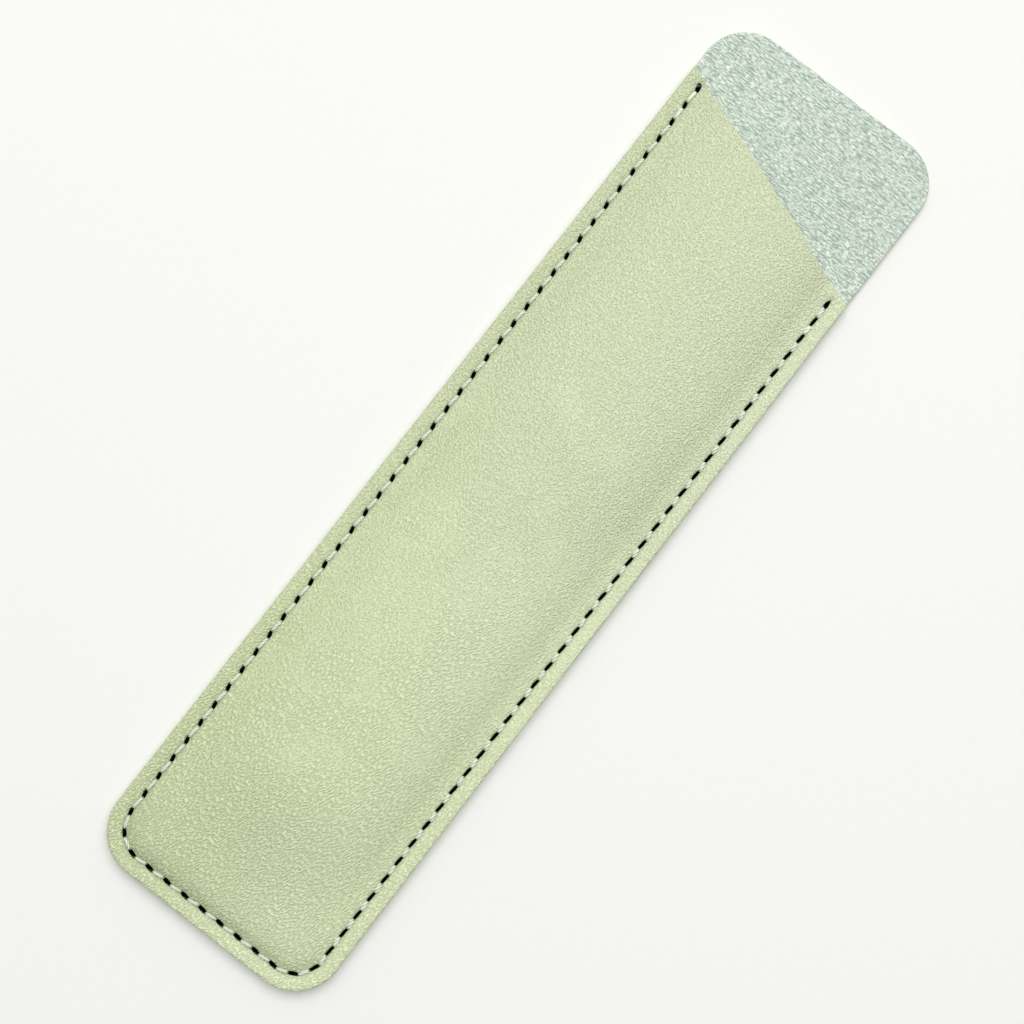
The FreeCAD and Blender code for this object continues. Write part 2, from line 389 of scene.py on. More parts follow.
def seam_holes():
    """Evenly spaced stitch holes, from the seam's left end to its right; the last one is pointed."""
    left_y = mouth_y(-SEAM_X) - SEAM_START_DROP
    right_y = mouth_y(SEAM_X) - SEAM_END_DROP
    holes = []
    for place, turn in along(u_stretches(SEAM_MARGIN, left_y, right_y), STITCH_PITCH):
        slant, length, width, pointedness, fullness = (
            np.interp(turn, SIDE_TURNS, values)
            for values in (HOLE_SLANTS, HOLE_LENGTHS, HOLE_WIDTHS, HOLE_POINTEDNESS, STITCH_FULLNESS)
        )
        holes.append(Hole(place, turn, math.radians(slant), length, width, pointedness, fullness, 0))
    first, last = holes[0], holes[-1]
    holes[0] = first._replace(width=END_HOLE_WIDENING * first.width)
    holes[-1] = last._replace(
        length=LAST_HOLE_SHORTENING * last.length,
        width=END_HOLE_WIDENING * last.width,
        taper=LAST_HOLE_TAPER,
    )
    return holes


HOLES = seam_holes()
HOLE_PLACES = np.array([hole.place for hole in HOLES])
HOLE_TURNS = np.array([hole.turn + hole.slant for hole in HOLES])
HOLE_REACHES = np.array([(hole.length / 2, hole.width / 2) for hole in HOLES])


def hole_loop(hole, margin):
    """Edge of a stitch hole, this much wider than the slit that shows; its ends are round or pointed."""
    angles = np.arange(HOLE_POINTS) * 2 * math.pi / HOLE_POINTS
    ahead = np.cos(angles)
    rounded = np.sign(np.sin(angles)) * np.abs(np.sin(angles)) ** hole.pointedness
    aside = rounded * (1 - hole.taper * ahead)
    shape = (hole.length / 2 + margin) * ahead + 1j * (hole.width / 2 + margin) * aside
    return list(hole.place + shape * heading(hole.turn + hole.slant))


def nearest_hole(places):
    """For each place, how far it is from the nearest hole, along and across it, and that hole's number."""
    apart = places[:, None] - HOLE_PLACES[None, :]
    nearest = np.abs(apart).argmin(axis=1)
    local = apart[np.arange(len(places)), nearest] * np.exp(-1j * HOLE_TURNS[nearest])
    return local.real, local.imag, nearest


def side_depth(places):
    """How far inside the outline a place is, counted from the two sides and the bottom."""
    across = np.abs(places.real) - (HALF_WIDTH - CORNER_RADIUS)
    down = (BOTTOM + CORNER_RADIUS) - places.imag
    outside = np.hypot(np.maximum(across, 0), np.maximum(down, 0))
    inside = np.minimum(np.maximum(across, down), 0)
    return CORNER_RADIUS - outside - inside


def top_depth(places):
    """How far inside the back panel's outline a place is, counted from the two sides and the top."""
    return side_depth(places.conj())


def mouth_depth(places):
    """How far below the mouth's edge a place is, square to the edge."""
    return (mouth_edge_y(places.real) - places.imag) / math.hypot(1, MOUTH_SLOPE)


# Heights

def flank_angle(rise):
    """Slope of the pocket's straight flank, found by halving, for a crown that stands this high."""
    low = np.zeros_like(rise)
    high = np.full_like(rise, math.radians(STEEPEST_FLANK))
    for _ in range(HALVINGS):
        angle = (low + high) / 2
        reached = (SHOULDER_RUN + CROWN_RUN) * np.tan(angle / 2) + FLANK_RUN * np.tan(angle)
        low = np.where(reached < rise, angle, low)
        high = np.where(reached < rise, high, angle)
    return (low + high) / 2


def pocket_height(places):
    """Height of the pocket's ceiling above its edge: shoulder, flank and crown, sloping to the bottom."""
    part = np.clip((places.imag - POCKET_BOTTOM) / BOTTOM_SLOPE_RUN, 0, 1)
    rise = np.maximum(POCKET_RISE * (1 - np.cos(math.pi * part)) / 2, LEAST_RISE)
    angle = flank_angle(rise)
    shoulder = SHOULDER_RUN / np.sin(angle)
    crown = CROWN_RUN / np.sin(angle)
    x = np.abs(places.real)
    inward = np.clip(POCKET_HALF_WIDTH - x, 0, None)
    on_shoulder = shoulder - np.sqrt(np.maximum(shoulder**2 - np.minimum(inward, SHOULDER_RUN) ** 2, 0))
    on_flank = on_shoulder + np.tan(angle) * np.clip(inward - SHOULDER_RUN, 0, FLANK_RUN)
    on_crown = rise - crown + np.sqrt(np.maximum(crown**2 - np.minimum(x, CROWN_RUN) ** 2, 0))
    return np.where(x < CROWN_RUN, on_crown, on_flank)


def steepness(places):
    """How much longer a ply is measured upright than square to itself, where the pocket slopes."""
    across, lengthways = (
        (pocket_height(places + step) - pocket_height(places - step)) / (2 * SLOPE_STEP)
        for step in (SLOPE_STEP, 1j * SLOPE_STEP)
    )
    return np.sqrt(1 + across**2 + lengthways**2)


def sewn_share(places):
    """1 beside the stitches, fading to 0 past the seam's two ends."""
    end_y = np.where(places.real < 0, HOLE_PLACES[0].imag, HOLE_PLACES[-1].imag)
    return 1 - smooth(0, VALLEY_FADE, places.imag - end_y)


def stitch_pull(places):
    """How far the stitches pull the leather in: a valley along their line, with a dimple at each hole."""
    off_line = side_depth(places) - SEAM_MARGIN
    valley = VALLEY_DEPTH * np.exp(-((off_line / VALLEY_WIDTH) ** 2)) * sewn_share(places)
    ahead, aside, _ = nearest_hole(places)
    dimple = DIMPLE_DEPTH * np.exp(-(ahead**2 + aside**2) / DIMPLE_WIDTH**2)
    return valley + dimple


def bottom_puff(places):
    """How far the leather puffs up above the bottom seam, before it settles over the pocket's slope."""
    above = np.clip(places.imag - (BOTTOM + SEAM_MARGIN), 0, None)
    beside = smooth(0, CORNER_RADIUS, HALF_WIDTH - SEAM_MARGIN - np.abs(places.real))
    risen = 1 - np.exp(-above / PUFF_RUN)
    return PUFF_HEIGHT * risen * (1 - smooth(0, BOTTOM_SLOPE_RUN, above)) * beside


def waviness(places):
    return sum(height * np.sin(a * places.real + b * places.imag + c) for height, a, b, c in WAVES)


def settling(places):
    """How far the hide's waves and the puff lift the front plies together."""
    waves = waviness(places) * smooth(SEAM_MARGIN, POCKET_INSET + WAVE_FADE, side_depth(places))
    return waves + bottom_puff(places)


def edge_drop(depth):
    """How far a worn cut edge has rounded down at this depth inside it."""
    inside = np.clip(depth / EDGE_ROUNDING, 0, 1)
    return EDGE_ROUNDING * (1 - np.sqrt(np.clip(1 - (1 - inside) ** 2, 0, 1)))


def painted_seam_shade(places):
    """How far painted shade darkens the leather, by the stitches and inside the bottom seam."""
    inward = side_depth(places) - SEAM_MARGIN
    beside_stitches = SEAM_SHADE_BESIDE * np.exp(-((inward / SEAM_SHADE_WIDTH) ** 2))
    near_bottom = 1 - smooth(SEAM_MARGIN, 2 * CORNER_RADIUS, places.imag - BOTTOM)
    band = SEAM_SHADE_INSIDE * near_bottom * np.exp(-np.abs(inward) / SEAM_SHADE_BAND) * (inward > 0)
    return np.maximum(beside_stitches, band) * sewn_share(places)


# Meshes

def within(places, edge):
    """Whether each place lies inside a closed edge, from how often the edge winds round it."""
    turns = np.angle((np.roll(edge, -1) - places[:, None]) / (edge - places[:, None]))
    return np.abs(turns.sum(axis=1)) > math.pi


def triangulate(points, loops):
    """Plan points and triangles, with the loops' new point numbers; each loop is an edge of the sheet."""
    edges = [pair for loop in loops for pair in zip(loop, loop[1:] + loop[:1])]
    made = delaunay_2d_cdt([Vector((p.real, p.imag)) for p in points], edges, [], 0, WELD)
    renamed = {old: new for new, olds in enumerate(made[3]) for old in olds}
    places = np.array([complex(v.x, v.y) for v in made[0]])
    triangles = np.array(made[2])
    loops = [[renamed[k] for k in loop] for loop in loops]
    loop_of = np.full(len(places), -1)
    for number, loop in enumerate(loops):
        loop_of[loop] = number
    owners = loop_of[triangles]
    same = (owners[:, 0] == owners[:, 1]) & (owners[:, 1] == owners[:, 2])
    in_hole = same & (owners[:, 0] > 0)
    a, b, c = (places[triangles[:, k]] for k in range(3))
    area = ((b - a).conj() * (c - a)).imag
    outside = same & (owners[:, 0] == 0)
    outside[outside] = ~within((a + b + c)[outside] / 3, places[loops[0]])
    flipped = area < 0
    triangles[flipped] = triangles[flipped][:, ::-1]
    return places, triangles[~in_hole & ~outside & (np.abs(area) > SLIVER)], loops


def clear_of_holes(points, margin):
    """The loose points that lie a little outside every hole."""
    places = np.array(points)
    ahead, aside, nearest = nearest_hole(places)
    reach = HOLE_REACHES[nearest] + margin + HOLE_GAP
    return list(places[(ahead / reach[:, 0]) ** 2 + (aside / reach[:, 1]) ** 2 > 1])


def field(step, low_y, high_y):
    """Points spread evenly over a stretch of the sleeve, in staggered rows."""
    rows = np.arange(low_y, high_y, step * math.sqrt(0.75))
    points = []
    for number, y in enumerate(rows):
        shift = step / 2 if number % 2 else 0
        points += [complex(x, y) for x in np.arange(-HALF_WIDTH + shift, HALF_WIDTH, step)]
    return np.array(points)


def plan_of(outline, loose, hole_margin):
    """Plan of a sheet with this outline, every stitch hole, and loose points between them."""
    points = list(outline)
    loops = [list(range(len(outline)))]
    for hole in HOLES:
        edge = hole_loop(hole, hole_margin)
        loops.append(list(range(len(points), len(points) + len(edge))))
        points += edge
    return triangulate(points + loose, loops)


def front_plan(hole_margin):
    """Plan of a front ply: outline with the slanted mouth, holes, and points between them."""
    left_y, right_y = mouth_y(-HALF_WIDTH), mouth_y(HALF_WIDTH)
    outline = [place for place, _ in along(u_stretches(0, left_y, right_y), EDGE_STEP)]
    count = round(WIDTH / EDGE_STEP)
    mouth_xs = HALF_WIDTH - WIDTH * np.arange(1, count) / count
    outline += [complex(x, mouth_edge_y(x)) for x in mouth_xs]
    inner_xs = mouth_xs[np.abs(mouth_xs) < HALF_WIDTH - EDGE_RING_GAP]
    loose = []
    for inset in EDGE_RINGS:
        loose += u_ring(inset, EDGE_STEP, EDGE_RING_GAP)
        loose += [complex(x, mouth_edge_y(x) - inset) for x in inner_xs]
    for inset in SEAM_RINGS:
        loose += u_ring(inset, SEAM_STEP, SEAM_RING_GAP)
    for inset in FIELD_RINGS:
        loose += u_ring(inset, 2 * SEAM_STEP, SEAM_RING_GAP)
    spread = field(FIELD_STEP, BOTTOM, TOP)
    inside = side_depth(spread) > FIELD_RINGS[-1] + FIELD_GAP
    below = mouth_depth(spread) > EDGE_RINGS[-1] + MOUTH_FIELD_GAP
    loose = clear_of_holes(loose, hole_margin) + list(spread[inside & below])
    return plan_of(outline, loose, hole_margin)


def back_plan(hole_margin, tongue_step):
    """Plan of a back ply: the whole outline, holes, and points that are closer on the tongue if asked."""
    outline = closed_ring(0, EDGE_STEP)
    loose = []
    for inset in EDGE_RINGS:
        loose += closed_ring(inset, EDGE_STEP)
    for inset in SEAM_RINGS:
        loose += u_ring(inset, SEAM_STEP, BACK_RING_GAP)
    tongue = field(tongue_step, mouth_y(HALF_WIDTH) - MOUTH_SCOOP, TOP)
    from_edge = np.minimum(side_depth(tongue), top_depth(tongue))
    tongue = tongue[(mouth_depth(tongue) < TONGUE_OVERLAP) & (from_edge > TONGUE_MARGIN)]
    spread = field(FIELD_STEP, BOTTOM, TOP)
    inside = side_depth(spread) > SEAM_RINGS[-1] + FIELD_GAP
    below = mouth_depth(spread) > TONGUE_OVERLAP + FIELD_GAP
    loose = clear_of_holes(loose, hole_margin) + list(tongue) + list(spread[inside & below])
    return plan_of(outline, loose, hole_margin)


def wall_quads(upper, lower):
    """Four-sided faces between two closed rows of point numbers."""
    ahead_up = upper[1:] + upper[:1]
    ahead_low = lower[1:] + lower[:1]
    return list(zip(upper, lower, ahead_low, ahead_up))


def ply(name, plan, top, bottom, materials):
    """A sheet with a thickness: two faces over one plan, a cut edge that bulges a little, and open holes.

    The materials are those of its upper face, lower face, cut edge and hole walls.
    """
    places, triangles, loops = plan
    flat = np.stack([places.real, places.imag], axis=1)
    points = [np.column_stack([flat, top]), np.column_stack([flat, bottom])]
    count = len(places)
    faces = [tuple(t) for t in triangles] + [tuple(t[::-1] + count) for t in triangles]
    slots = [0] * len(triangles) + [1] * len(triangles)
    following = 2 * count
    for number, loop in enumerate(loops):
        bulge = EDGE_BULGE if number == 0 else 0.0
        edge = places[loop]
        outward = -1j * (np.roll(edge, -1) - np.roll(edge, 1))
        outward /= np.abs(outward)
        middle = edge + outward * bulge
        points.append(np.column_stack([middle.real, middle.imag, (top[loop] + bottom[loop]) / 2]))
        belt = list(range(following, following + len(loop)))
        following += len(loop)
        quads = wall_quads(loop, belt) + wall_quads(belt, [k + count for k in loop])
        if number:
            quads = [quad[::-1] for quad in quads]
        faces += quads
        slots += [2 if number == 0 else 3] * len(quads)
    return piece(name, np.concatenate(points), faces, materials, slots)


def piece(name, points, faces, materials, slots):
    """A smooth mesh from points in millimetres, with a material slot for each face."""
    mesh = bpy.data.meshes.new(name)
    mesh.from_pydata((points * MM).tolist(), [], [tuple(int(k) for k in face) for face in faces])
    for material in materials:
        mesh.materials.append(material)
    mesh.polygons.foreach_set("material_index", slots)
    mesh.polygons.foreach_set("use_smooth", [True] * len(faces))
    mesh.update()
    made = bpy.data.objects.new(name, mesh)
    bpy.context.scene.collection.objects.link(made)
    return made


def add_layer(made, name, values):
    """A number at each point of a mesh, for its material to use."""
    layer = made.data.attributes.new(name, "FLOAT", "POINT")
    layer.data.foreach_set("value", values.astype(np.float32))


# Thread

def arch(start, end, foot_z, top_z, flatness, count):
    """Points of a flat-topped arch between two places in plan, without its last point."""
    angles = math.pi * np.arange(count) / count
    ahead = -np.sign(np.cos(angles)) * np.abs(np.cos(angles)) ** (2 / flatness)
    part = np.abs(np.sin(angles)) ** (2 / flatness)
    places = (start + end) / 2 + (end - start) / 2 * ahead
    return np.column_stack([places.real, places.imag, foot_z + (top_z - foot_z) * part])


def swelling(slim, full, span, count):
    """Fullness along an arch, slim at its feet and full at its top."""
    part = np.sin(math.pi * np.arange(count) / count)
    return slim + (full - slim) * smooth(*span, part)


def leg_offset(hole, leg_side):
    """From a hole's centre to where the thread rises out of its leading end."""
    return heading(hole.turn + hole.slant * leg_side) * (hole.length / 2 - LEG_INSET)


def thread_line(holes, face_z, foot_z, hook_z, leg_side, shift=0.0):
    """Middle line of a thread that arches over the face and hooks inside each hole, and its fullness.

    A shift sets its stitches off to the two sides in turn, so that they cross those already there.
    """
    rows, fullness = [], []
    for number, hole in enumerate(holes):
        ahead = leg_offset(hole, leg_side)
        place = hole.place + heading(hole.turn + math.pi / 2) * shift * (-1) ** number
        slim = hole.fullness * (1 - STITCH_TAPER)
        rows.append(arch(place - ahead, place + ahead, foot_z, hook_z, HOOK_FLATNESS, HOOK_POINTS))
        fullness.append(swelling(slim, hole.width / THREAD, HOOK_SWELL, HOOK_POINTS))
        if number + 1 < len(holes):
            after = holes[number + 1]
            after_place = after.place - heading(after.turn + math.pi / 2) * shift * (-1) ** number
            arriving = after_place - leg_offset(after, leg_side)
            rows.append(arch(place + ahead, arriving, foot_z, face_z, STITCH_FLATNESS, STITCH_POINTS))
            fullness.append(swelling(slim, hole.fullness, STITCH_SWELL, STITCH_POINTS))
    return np.concatenate(rows), np.concatenate(fullness)


def frames_along(line):
    """Two directions square to the line at each point, carried along it without turning about it."""
    ahead = np.gradient(line, axis=0)
    ahead /= np.linalg.norm(ahead, axis=1)[:, None]
    side = np.cross(ahead[0], FIRST_SIDE)
    sides = []
    for direction in ahead:
        side = side - direction * side.dot(direction)
        side /= np.linalg.norm(side)
        sides.append(side)
    sides = np.array(sides)
    return sides, np.cross(ahead, sides)


def twist(line, fullness, first_point):
    """One stretch of thread, laid up from plies that wind round its middle line.

    Gives its points and faces, how far along each point lies, and how deep between the plies it is.
    """
    fullness = fullness[:, None]
    first, second = frames_along(line)
    travelled = np.concatenate([[0], np.cumsum(np.linalg.norm(np.diff(line, axis=0), axis=1))])
    ply_radius = PLY_FULLNESS * THREAD / 2 / (1 + 1 / math.sin(math.pi / THREAD_PLIES))
    centre_radius = THREAD / 2 - ply_radius
    around = np.arange(PLY_SIDES) * 2 * math.pi / PLY_SIDES
    ring = (
        np.cos(around)[None, :, None] * first[:, None, :]
        + np.sin(around)[None, :, None] * second[:, None, :]
    )
    count = len(line)
    points, faces, grooves = [], [], []
    for number in range(THREAD_PLIES):
        turn = 2 * math.pi * (travelled / THREAD_TWIST_PITCH + number / THREAD_PLIES)
        wound = np.cos(turn)[:, None] * first + np.sin(turn)[:, None] * second
        middle = line + centre_radius * fullness * wound
        points.append((middle[:, None, :] + ply_radius * fullness[:, None] * ring).reshape(-1, 3))
        outward = np.cos(around[None, :] - turn[:, None])
        grooves.append(1 - smooth(*GROOVE_SPAN, outward.ravel()))
        base = first_point + number * count * PLY_SIDES
        for row in range(count - 1):
            near = [base + row * PLY_SIDES + k for k in range(PLY_SIDES)]
            far = [k + PLY_SIDES for k in near]
            faces += wall_quads(far, near)
        faces.append(tuple(base + k for k in range(PLY_SIDES))[::-1])
        faces.append(tuple(base + (count - 1) * PLY_SIDES + k for k in range(PLY_SIDES)))
    lengths = np.tile(np.repeat(travelled, PLY_SIDES), THREAD_PLIES)
    return np.concatenate(points), faces, lengths, np.concatenate(grooves)


def twisted_thread(name, stretches, materials, face_z):
    """A thread in one or more stretches; its parts inside the holes are painted dark as shade."""
    points, faces, lengths, grooves = np.empty((0, 3)), [], np.empty(0), np.empty(0)
    for line, fullness in stretches:
        more_points, more_faces, more_lengths, more_grooves = twist(line, fullness, len(points))
        points = np.concatenate([points, more_points])
        faces += more_faces
        lengths = np.concatenate([lengths, more_lengths])
        grooves = np.concatenate([grooves, more_grooves])
    made = piece(name, points, faces, materials, [0] * len(faces))
    add_layer(made, "hole_shade", smooth(*HOLE_SHADE_SPAN, np.abs(points[:, 2] - face_z)))
    add_layer(made, "along", lengths * MM)
    add_layer(made, "groove", grooves)
    return made


# Nodes

def add(tree, kind, inputs=None, **settings):
    """A shader node with its settings, and its inputs set to values or joined to other nodes' outputs."""
    made = tree.nodes.new("ShaderNode" + kind)
    for key, value in settings.items():
        setattr(made, key, value)
    for key, value in (inputs or {}).items():
        if isinstance(value, bpy.types.NodeSocket):
            tree.links.new(value, made.inputs[key])
        else:
            made.inputs[key].default_value = value
    return made


def math_node(tree, operation, first, second):
    return add(tree, "Math", {0: first, 1: second}, operation=operation).outputs[0]


def vector_node(tree, operation, inputs):
    return add(tree, "VectorMath", inputs, operation=operation).outputs[0]


def attribute(tree, name):
    """A number that the mesh has at each of its points."""
    return add(tree, "Attribute", attribute_name=name).outputs["Fac"]


def light_of(screen_colour):
    """Screen values from 0 to 255, turned into light."""
    shares = [value / 255 for value in screen_colour]
    return tuple(v / 12.92 if v <= 0.04045 else ((v + 0.055) / 1.055) ** 2.4 for v in shares) + (1,)


def mixed(tree, share, first, second):
    """A mix of two colours, each a node's output or screen values."""
    first, second = (light_of(c) if isinstance(c, tuple) else c for c in (first, second))
    return add(tree, "Mix", {0: share, 6: first, 7: second}, data_type="RGBA").outputs[2]


def blend(tree, share, first, second):
    """A mix of two numbers."""
    return add(tree, "Mix", {0: share, 2: first, 3: second}).outputs[0]


def ramp(tree, value, low, high, to_low=0.0, to_high=1.0):
    """An even S from one number to another, while a value runs from low to high."""
    limits = {0: value, 1: low, 2: high, 3: to_low, 4: to_high}
    return add(tree, "MapRange", limits, interpolation_type="SMOOTHSTEP").outputs[0]


def ramp_over(tree, axis, stretch, to_low=0.0, to_high=1.0):
    """The same along X or Y, over a stretch in millimetres."""
    return ramp(tree, axis, stretch[0] * MM, stretch[1] * MM, to_low, to_high)


def noise_node(tree, place, noise_kind, dimensions):
    marks, layers, strength = noise_kind
    settings = {"Vector": place, "Scale": marks / MM, "Detail": layers, "Roughness": strength}
    return add(tree, "TexNoise", settings, noise_dimensions=dimensions)


def noise(tree, place, noise_kind):
    return noise_node(tree, place, noise_kind, "3D").outputs[0]


def flat_noise(tree, place, noise_kind):
    """Noise over X and Y alone, without the slow patches that a slice of solid noise has."""
    return noise_node(tree, place, noise_kind, "2D").outputs[0]


def stretched(tree, place, sizes, slant=0.0):
    """Places drawn out so that marks of a millimetre take these sizes across and along, at a slant."""
    settings = {"Vector": place, "Rotation": (0, 0, math.radians(slant)), "Scale": (*sizes, 1)}
    return add(tree, "Mapping", settings, vector_type="TEXTURE").outputs[0]


def wandering(tree, place, noise_kind, amount):
    """Places pushed about by a noise, so that what is drawn on them wanders."""
    drift = noise_node(tree, place, noise_kind, "3D").outputs["Color"]
    shift = vector_node(tree, "SUBTRACT", {0: drift, 1: (0.5, 0.5, 0.5)})
    shift = vector_node(tree, "SCALE", {0: shift, 3: amount * MM})
    return vector_node(tree, "ADD", {0: place, 1: shift})


def pebbles_on(tree, place):
    """Rounded bumps about a millimetre wide, with thin creases between them."""
    cells = {"Vector": place, "Scale": 1 / MM}
    middles, edges = (
        add(tree, "TexVoronoi", cells, feature=feature, voronoi_dimensions="2D").outputs["Distance"]
        for feature in ("F1", "DISTANCE_TO_EDGE")
    )
    domes = ramp(tree, middles, *DOME_SPAN)
    return math_node(tree, "MULTIPLY", domes, ramp(tree, edges, *CREASE_SPAN))


def new_material(name, **inputs):
    """A material, its tree, its shader with these inputs set, and the place on the piece."""
    material = bpy.data.materials.new(name)
    material.use_nodes = True
    tree = material.node_tree
    shader = tree.nodes["Principled BSDF"]
    for key, value in inputs.items():
        shader.inputs[key.replace("_", " ")].default_value = value
    return material, tree, shader, add(tree, "TexCoord").outputs["Object"]


def finish_with(tree, shader, face, height, relief):
    """Gives a shader its colour and its relief."""
    strength, distance = relief
    bump = {"Strength": strength, "Distance": distance * MM, "Height": height}
    tree.links.new(face, shader.inputs["Base Color"])
    tree.links.new(add(tree, "Bump", bump).outputs[0], shader.inputs["Normal"])


# Materials

def leather_height(tree, place, nudged, lengthways):
    """Relief of the leather: fine pebbles near the mouth, turning to slanting folds towards the bottom."""
    pebbles = pebbles_on(tree, stretched(tree, nudged, PEBBLES))
    grain = ramp(tree, flat_noise(tree, nudged, GRAIN_NOISE), *NOISE_SPAN)
    pebbled = blend(tree, GRAIN_SHARE, pebbles, grain)
    folding = wandering(tree, place, FOLD_WANDER_NOISE, FOLD_WANDER)
    creases = pebbles_on(tree, stretched(tree, folding, CREASES, FOLD_SLANT))
    folds = flat_noise(tree, stretched(tree, folding, FOLDS, FOLD_SLANT), FOLD_NOISE)
    folded = blend(tree, FOLD_SHARE, creases, ramp(tree, folds, *NOISE_SPAN))
    patchy = math_node(tree, "MULTIPLY", lengthways, FOLDING_PER_METRE)
    patchy = math_node(tree, "ADD", patchy, noise(tree, place, FOLD_PATCHES))
    coarse = blend(tree, ramp(tree, patchy, *FOLDING_SPAN), pebbled, folded)
    fine = ramp(tree, flat_noise(tree, place, FINE_NOISE), *NOISE_SPAN)
    return blend(tree, FINE_SHARE, coarse, fine)


def leather_colour(tree, place, nudged, axes, height):
    """Yellow-green dye, paler on the bumps as grain colour and painted shade; painted light to the right,
    painted glints, and painted shade by the seam.
    """
    # tone follows the relief: paler on the bumps and darker in the hollows, partly the grain's own colour
    # and partly painted shade
    tone = blend(tree, TONE_PATCH_SHARE, height, noise(tree, place, TONE_PATCHES))
    # painted light and shade across X: darker on the left flank and paler on the right, offsetting how the
    # lamp falls on the pocket's flanks
    painted_light = ramp_over(tree, axes["X"], PAINTED_LIGHT_STRETCH, *PAINTED_LIGHT_LIFT)
    tone = math_node(tree, "ADD", ramp(tree, tone, *TONE_SPAN), painted_light)
    yellowing = ramp_over(tree, axes["Y"], YELLOWING_STRETCH)
    light = mixed(tree, yellowing, LEATHER_LIGHT, LEATHER_LOW_LIGHT)
    face = mixed(tree, tone, LEATHER_DARK, light)
    # painted glints: small pale painted highlights, fewest towards the bottom
    painted_glints = ramp(tree, flat_noise(tree, nudged, GLINT_NOISE), *GLINT_SPAN)
    painted_glints = math_node(tree, "MULTIPLY", painted_glints, ramp_over(tree, axes["Y"], GLINT_STRETCH, *GLINT_SHARES))
    face = mixed(tree, painted_glints, face, LEATHER_PAINTED_GLINT)
    # dark olive painted shade by the stitches and inside the bottom seam
    return mixed(tree, attribute(tree, "painted_seam_shade"), face, LEATHER_PAINTED_SHADE)


def leather_material():
    """Pebbled, matt leather."""
    material, tree, shader, place = new_material("pebbled_leather", Specular_IOR_Level=0.38)
    axes = add(tree, "SeparateXYZ", {0: place}).outputs
    nudged = wandering(tree, place, WANDER_NOISE, PEBBLE_WANDER)
    height = leather_height(tree, place, nudged, axes["Y"])
    face = leather_colour(tree, place, nudged, axes, height)
    finish_with(tree, shader, face, height, LEATHER_RELIEF)
    tree.links.new(ramp(tree, height, *LEATHER_ROUGHNESS), shader.inputs["Roughness"])
    return material


def suede_material():
    """Brushed suede: thin dark partings of the nap across the sleeve, over short strokes and fibres."""
    material, tree, shader, place = new_material(
        "brushed_suede", Roughness=0.95, Specular_IOR_Level=0.12, Sheen_Weight=0.2, Sheen_Roughness=0.5
    )
    nudged = wandering(tree, place, WANDER_NOISE, SUEDE_WANDER)
    strokes = flat_noise(tree, stretched(tree, nudged, STROKES), STROKE_NOISE)
    fibres = ramp(tree, flat_noise(tree, nudged, FIBRE_NOISE), *FIBRE_SPAN)
    nap = blend(tree, FIBRE_SHARE, ramp(tree, strokes, *STROKE_SPAN), fibres)
    partings = flat_noise(tree, stretched(tree, nudged, PARTINGS), PARTING_NOISE)
    nap = math_node(tree, "MULTIPLY", nap, ramp(tree, partings, *PARTING_SPAN))
    tone = blend(tree, SUEDE_PATCH_SHARE, nap, noise(tree, place, SUEDE_PATCHES))
    face = mixed(tree, ramp(tree, tone, *NAP_SPAN), *SUEDE_SHADES)
    finish_with(tree, shader, face, nap, SUEDE_RELIEF)
    return material


def cut_edge_material(name, shades):
    """Raw cut edge: matted fibres that run along the edge."""
    material, tree, shader, place = new_material(name, Roughness=0.85, Specular_IOR_Level=0.2)
    combed = add(tree, "Mapping", {"Vector": place, "Scale": CUT_FIBRES}).outputs[0]
    fibres = noise(tree, combed, CUT_NOISE)
    face = mixed(tree, ramp(tree, fibres, *NOISE_SPAN), *shades)
    finish_with(tree, shader, face, fibres, CUT_RELIEF)
    return material


def hole_material():
    """Inside of a punched hole: compressed leather, nearly black with painted shade."""
    material, tree, shader, place = new_material("hole_wall", Roughness=0.9, Specular_IOR_Level=0.02)
    face = mixed(tree, noise(tree, place, HOLE_NOISE), *HOLE_SHADES)
    tree.links.new(face, shader.inputs["Base Color"])
    return material


def thread_material():
    """Waxed cream thread: fine fibres, painted shade in the grooves between the plies, and darker painted
    shade down in a hole.
    """
    material, tree, shader, place = new_material("waxed_thread", Roughness=0.5)
    drift = add(tree, "CombineXYZ", {0: attribute(tree, "along")}).outputs[0]
    drift = vector_node(tree, "SCALE", {0: drift, 3: THREAD_DRIFT})
    fibres = noise(tree, vector_node(tree, "ADD", {0: place, 1: drift}), THREAD_NOISE)
    cream = mixed(tree, ramp(tree, fibres, *NOISE_SPAN), *THREAD_SHADES)
    # painted shade in the grooves between the plies, where their faces turn inward
    groove = ramp(tree, attribute(tree, "groove"), *GROOVE_SHADE)
    # painted shade down inside a hole, with no gloss there
    hole_shade = attribute(tree, "hole_shade")
    face = mixed(tree, hole_shade, mixed(tree, groove, cream, THREAD_GROOVE_PAINTED_SHADE), THREAD_HOLE_SHADE)
    finish_with(tree, shader, face, fibres, THREAD_RELIEF)
    tree.links.new(ramp(tree, hole_shade, *HOLE_SHADE_GLOSS), shader.inputs["Specular IOR Level"])
    return material


def cement_material():
    """Dry contact cement: amber, with small bubbles."""
    material, tree, shader, place = new_material("dry_cement", Roughness=0.45)
    bubbles = noise(tree, place, BUBBLE_NOISE)
    finish_with(tree, shader, mixed(tree, bubbles, *CEMENT_SHADES), bubbles, CEMENT_RELIEF)
    return material


def floor_material():
    """Smooth white board with a faint grain."""
    material, tree, shader, place = new_material("pale_floor", Roughness=0.9, Specular_IOR_Level=0.1)
    face = mixed(tree, noise(tree, place, FLOOR_NOISE), *FLOOR_SHADES)
    tree.links.new(face, shader.inputs["Base Color"])
    return material


# Pieces

